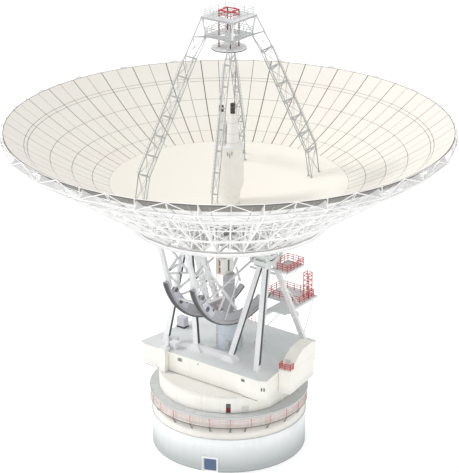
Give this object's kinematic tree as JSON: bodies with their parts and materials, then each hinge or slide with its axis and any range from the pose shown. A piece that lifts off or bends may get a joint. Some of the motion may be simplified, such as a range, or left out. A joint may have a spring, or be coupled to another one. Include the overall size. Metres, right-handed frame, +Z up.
{
  "type": "steerable radio telescope dish, 1:2 scale model",
  "caption": "Large steerable parabolic dish with a quadripod and feed tower, on a turning steel tower over a round concrete pedestal; it turns in azimuth and tilts in elevation.",
  "frame": {"origin": "centre of the pedestal's underside, on the azimuth axis, at ground level", "axes": "+Z up along the azimuth axis, +X along the elevation axis towards the stair hut, -Y the side towards which the dish tilts; the dish points at the zenith at rest"},
  "size_m": [35.13, 35.13, 36.4703],
  "materials": {
    "pale_concrete": "painted concrete, matt",
    "roof_grey": "grey roof coating, matt",
    "ivory_paint": "satin paint",
    "white_paint": "satin paint",
    "grey_paint": "satin paint",
    "red_paint": "satin paint",
    "shutter_blue_grey": "satin paint",
    "reflector_cream": "matt white paint on panels"
  },
  "bodies": {
    "pedestal": {"pedestal_floor": "pale_concrete", "pedestal_wall_1": "pale_concrete", "pedestal_wall_2": "pale_concrete", "pedestal_wall_3": "pale_concrete", "pedestal_wall_4": "pale_concrete", "shutter_frame": "white_paint", "roller_shutter": "shutter_blue_grey", "pedestal_band": "pale_concrete", "pedestal_roof": "roof_grey", "azimuth_runner": "grey_paint", "gallery_rail": "red_paint"},
    "alidade": {"azimuth_skirt": "ivory_paint", "house_floor": "ivory_paint", "house_walls": "ivory_paint", "deck_plate": "roof_grey", "stair_hut": "ivory_paint", "cable_trunk": "ivory_paint", "deck_cabinet": "white_paint", "leg_right_front_inner": "white_paint", "leg_right_front_outer": "white_paint", "leg_right_back_outer": "white_paint", "leg_right_back_inner": "white_paint", "leg_left_front_inner": "white_paint", "leg_left_front_outer": "white_paint", "leg_left_back_outer": "white_paint", "leg_left_back_inner": "white_paint", "bearing_housing_right": "grey_paint", "bearing_housing_left": "grey_paint", "front_tie_beam": "white_paint", "upper_platform": "roof_grey", "upper_platform_rail": "red_paint", "lower_platform": "roof_grey", "lower_platform_rail": "red_paint", "ladder_cage": "red_paint", "cable_drum": "white_paint", "centre_column": "grey_paint", "instrument_box": "ivory_paint"},
    "dish": {"elevation_girder": "grey_paint", "elevation_wheel_right": "grey_paint", "elevation_wheel_left": "grey_paint", "ring_beam": "white_paint", "hub_drum": "white_paint", "reflector_shell": "reflector_cream", "rim_truss": "white_paint", "back_frame_1": "white_paint", "back_frame_2": "white_paint", "back_frame_3": "white_paint", "back_frame_4": "white_paint", "feed_tower": "white_paint", "feed_cones": "white_paint", "quadripod_leg_1": "white_paint", "quadripod_leg_2": "white_paint", "quadripod_leg_3": "white_paint", "quadripod_leg_4": "white_paint", "apex_frame": "white_paint", "apex_rail": "white_paint", "subreflector": "white_paint", "hoist_frame": "red_paint"}
  },
  "joints": [
    {"name": "azimuth_turn", "type": "hinge", "parent": "pedestal", "child": "alidade", "pos_m": [0, 0, 5], "axis": [0, 0, 1], "range_deg": [-265, 265]},
    {"name": "elevation_tilt", "type": "hinge", "parent": "alidade", "child": "dish", "pos_m": [0, 0, 17.6], "axis": [1, 0, 0], "range_deg": [0, 84]}
  ]
}
